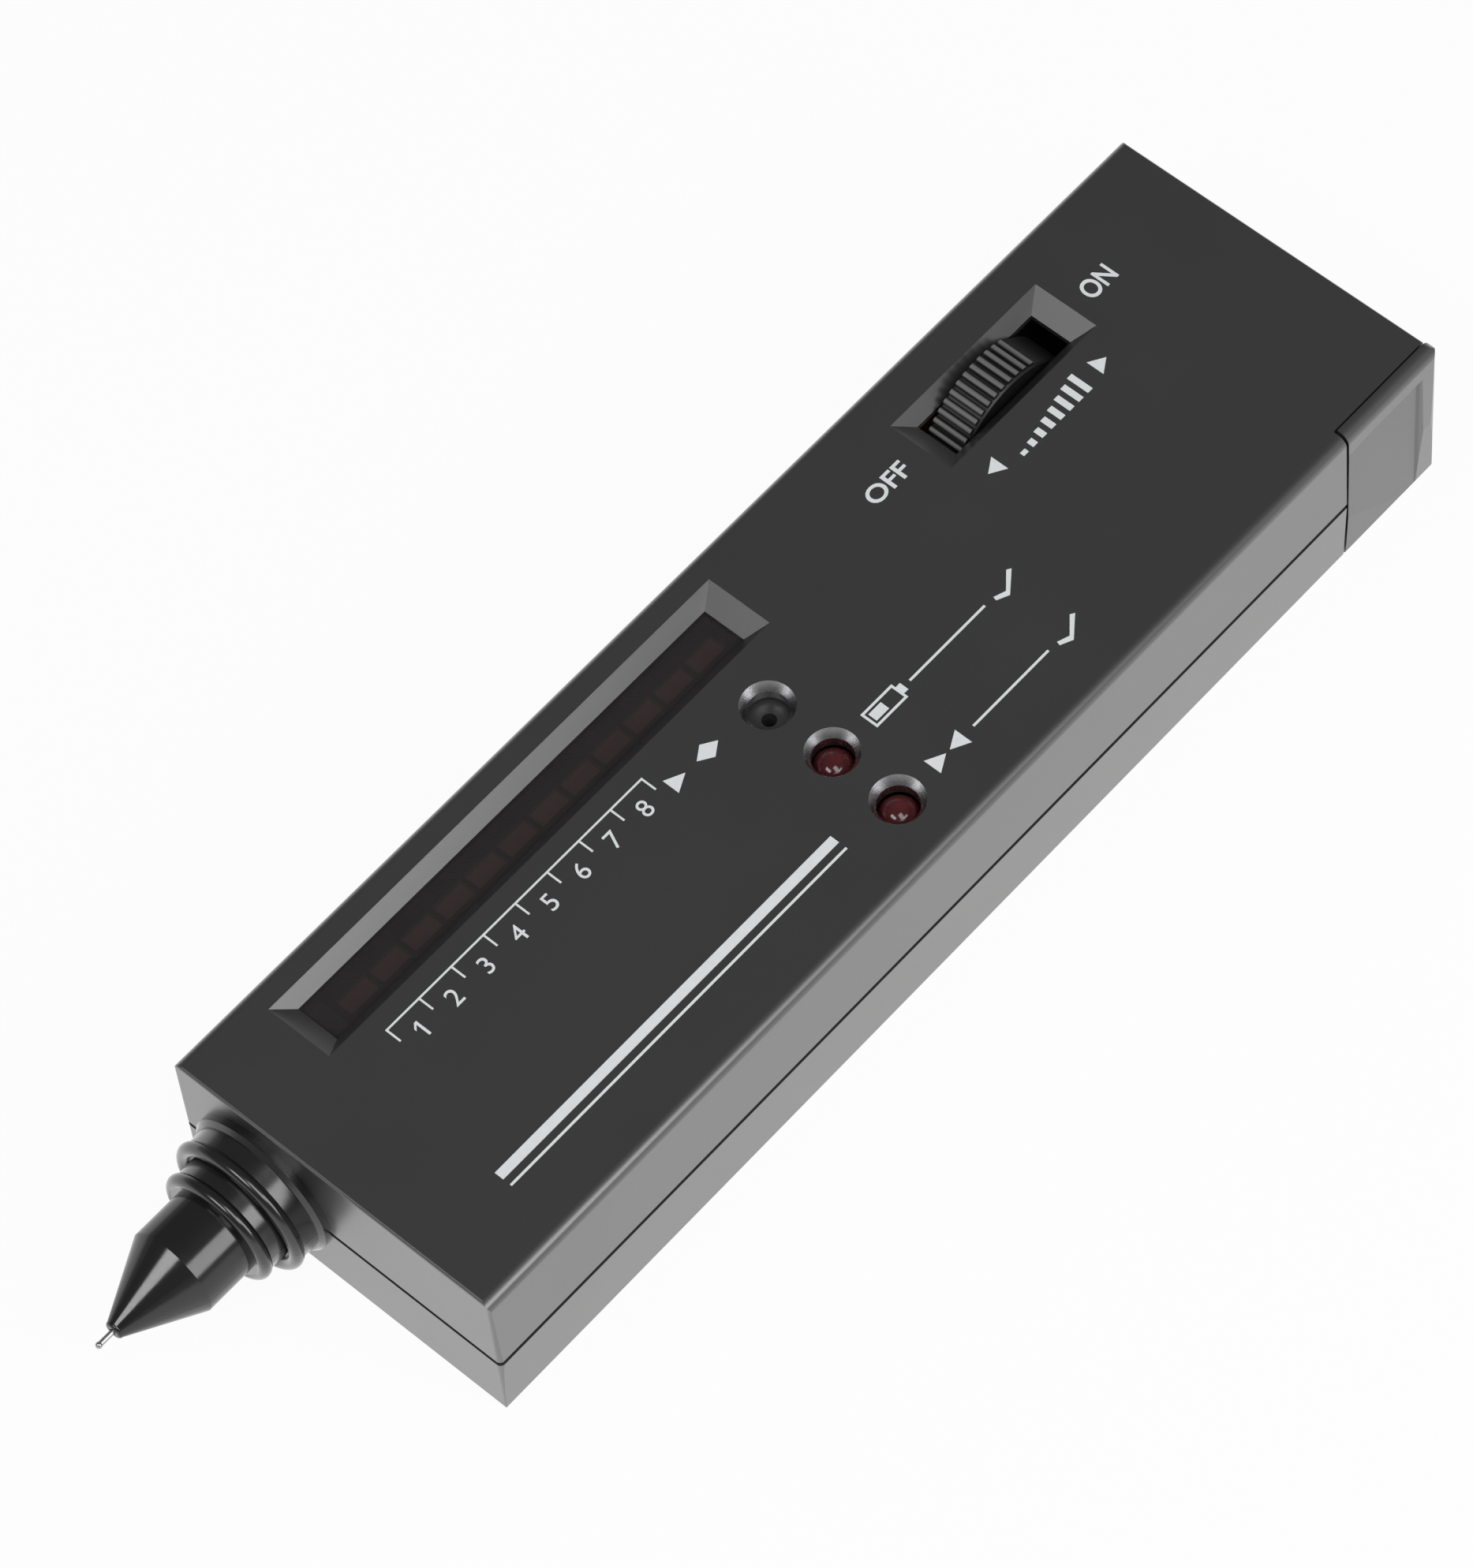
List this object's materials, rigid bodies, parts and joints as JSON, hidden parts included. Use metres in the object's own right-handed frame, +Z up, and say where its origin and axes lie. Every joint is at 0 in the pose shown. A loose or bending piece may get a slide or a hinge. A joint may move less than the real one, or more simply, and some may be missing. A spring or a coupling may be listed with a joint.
{
  "type": "thermal diamond tester",
  "caption": "Pocket diamond tester: slim dark grey two-part case with a ribbed thumbwheel, red lamp-bar window, sprung thermal probe tip and sliding battery door.",
  "frame": {"origin": "centre of the flat underside of the case", "axes": "+Y towards the rear of the case, away from the probe; +X to the battery door's side; +Z up"},
  "size_m": [0.045, 0.1783, 0.0242],
  "materials": {
    "case_plastic": "fine satin moulded plastic, dark grey",
    "wheel_plastic": "black moulded plastic with ribs",
    "black_gloss": "polished black plastic",
    "black_plastic": "black plastic",
    "red_filter": "dark red tinted acrylic",
    "red_lamp": "red tinted epoxy",
    "red_plastic": "red insulation",
    "yellow_plastic": "yellow insulation",
    "grey_plastic": "grey insulation",
    "blue_plastic": "blue plastic",
    "pale_plastic": "pale insulating plastic",
    "tan_ceramic": "tan coated ceramic",
    "board_green": "green solder mask on glass laminate",
    "board_brown": "brown phenolic laminate",
    "foam": "grey foam",
    "steel": "plated steel",
    "brass": "turned brass",
    "battery_jacket": "plain dark steel jacket"
  },
  "bodies": {
    "case": {"upper_case": "case_plastic", "lower_case": "case_plastic", "case_screws": "steel", "display_window": "red_filter", "lamp_holder": "black_plastic", "bar_lamps": "red_lamp", "main_board": "board_green", "board_screws": "steel", "battery_lamp": "red_lamp", "ready_lamp": "red_lamp", "buzzer": "black_plastic", "driver_chips": "black_plastic", "amplifier_chip": "black_plastic", "capacitors": "blue_plastic", "trimmers": "blue_plastic", "resistors": "tan_ceramic", "probe_sleeve": "black_gloss", "nose_cone": "black_gloss", "probe_plug": "pale_plastic", "tip_spring": "steel", "probe_leads": "yellow_plastic", "pot_body": "board_brown", "pot_terminals": "steel", "pot_board": "board_brown", "pot_leads": "grey_plastic", "battery": "battery_jacket", "battery_terminals": "steel", "battery_snap": "black_plastic", "snap_lead_red": "red_plastic", "snap_lead_black": "black_plastic", "battery_pad": "foam"},
    "tip": {"probe_tip": "steel", "tip_plunger": "brass", "heater_bead": "tan_ceramic"},
    "wheel": {"volume_wheel": "wheel_plastic", "wheel_shaft": "steel", "wheel_screw": "steel"},
    "door": {"battery_door": "case_plastic"}
  },
  "joints": [
    {"name": "wheel_turn", "type": "hinge", "parent": "case", "child": "wheel", "pos_m": [-0.0126, 0.0431, 0.0142], "axis": [-1, 0, 0], "range_deg": [0, 280]},
    {"name": "tip_press", "type": "slide", "parent": "case", "child": "tip", "axis": [0, 1, 0], "range_m": [0, 0.0015], "stiffness_N_per_m": 200, "springref_m": -0.003, "deforming": ["tip_spring"]},
    {"name": "door_slide", "type": "slide", "parent": "case", "child": "door", "axis": [0, 1, 0], "range_m": [0, 0.022]}
  ]
}
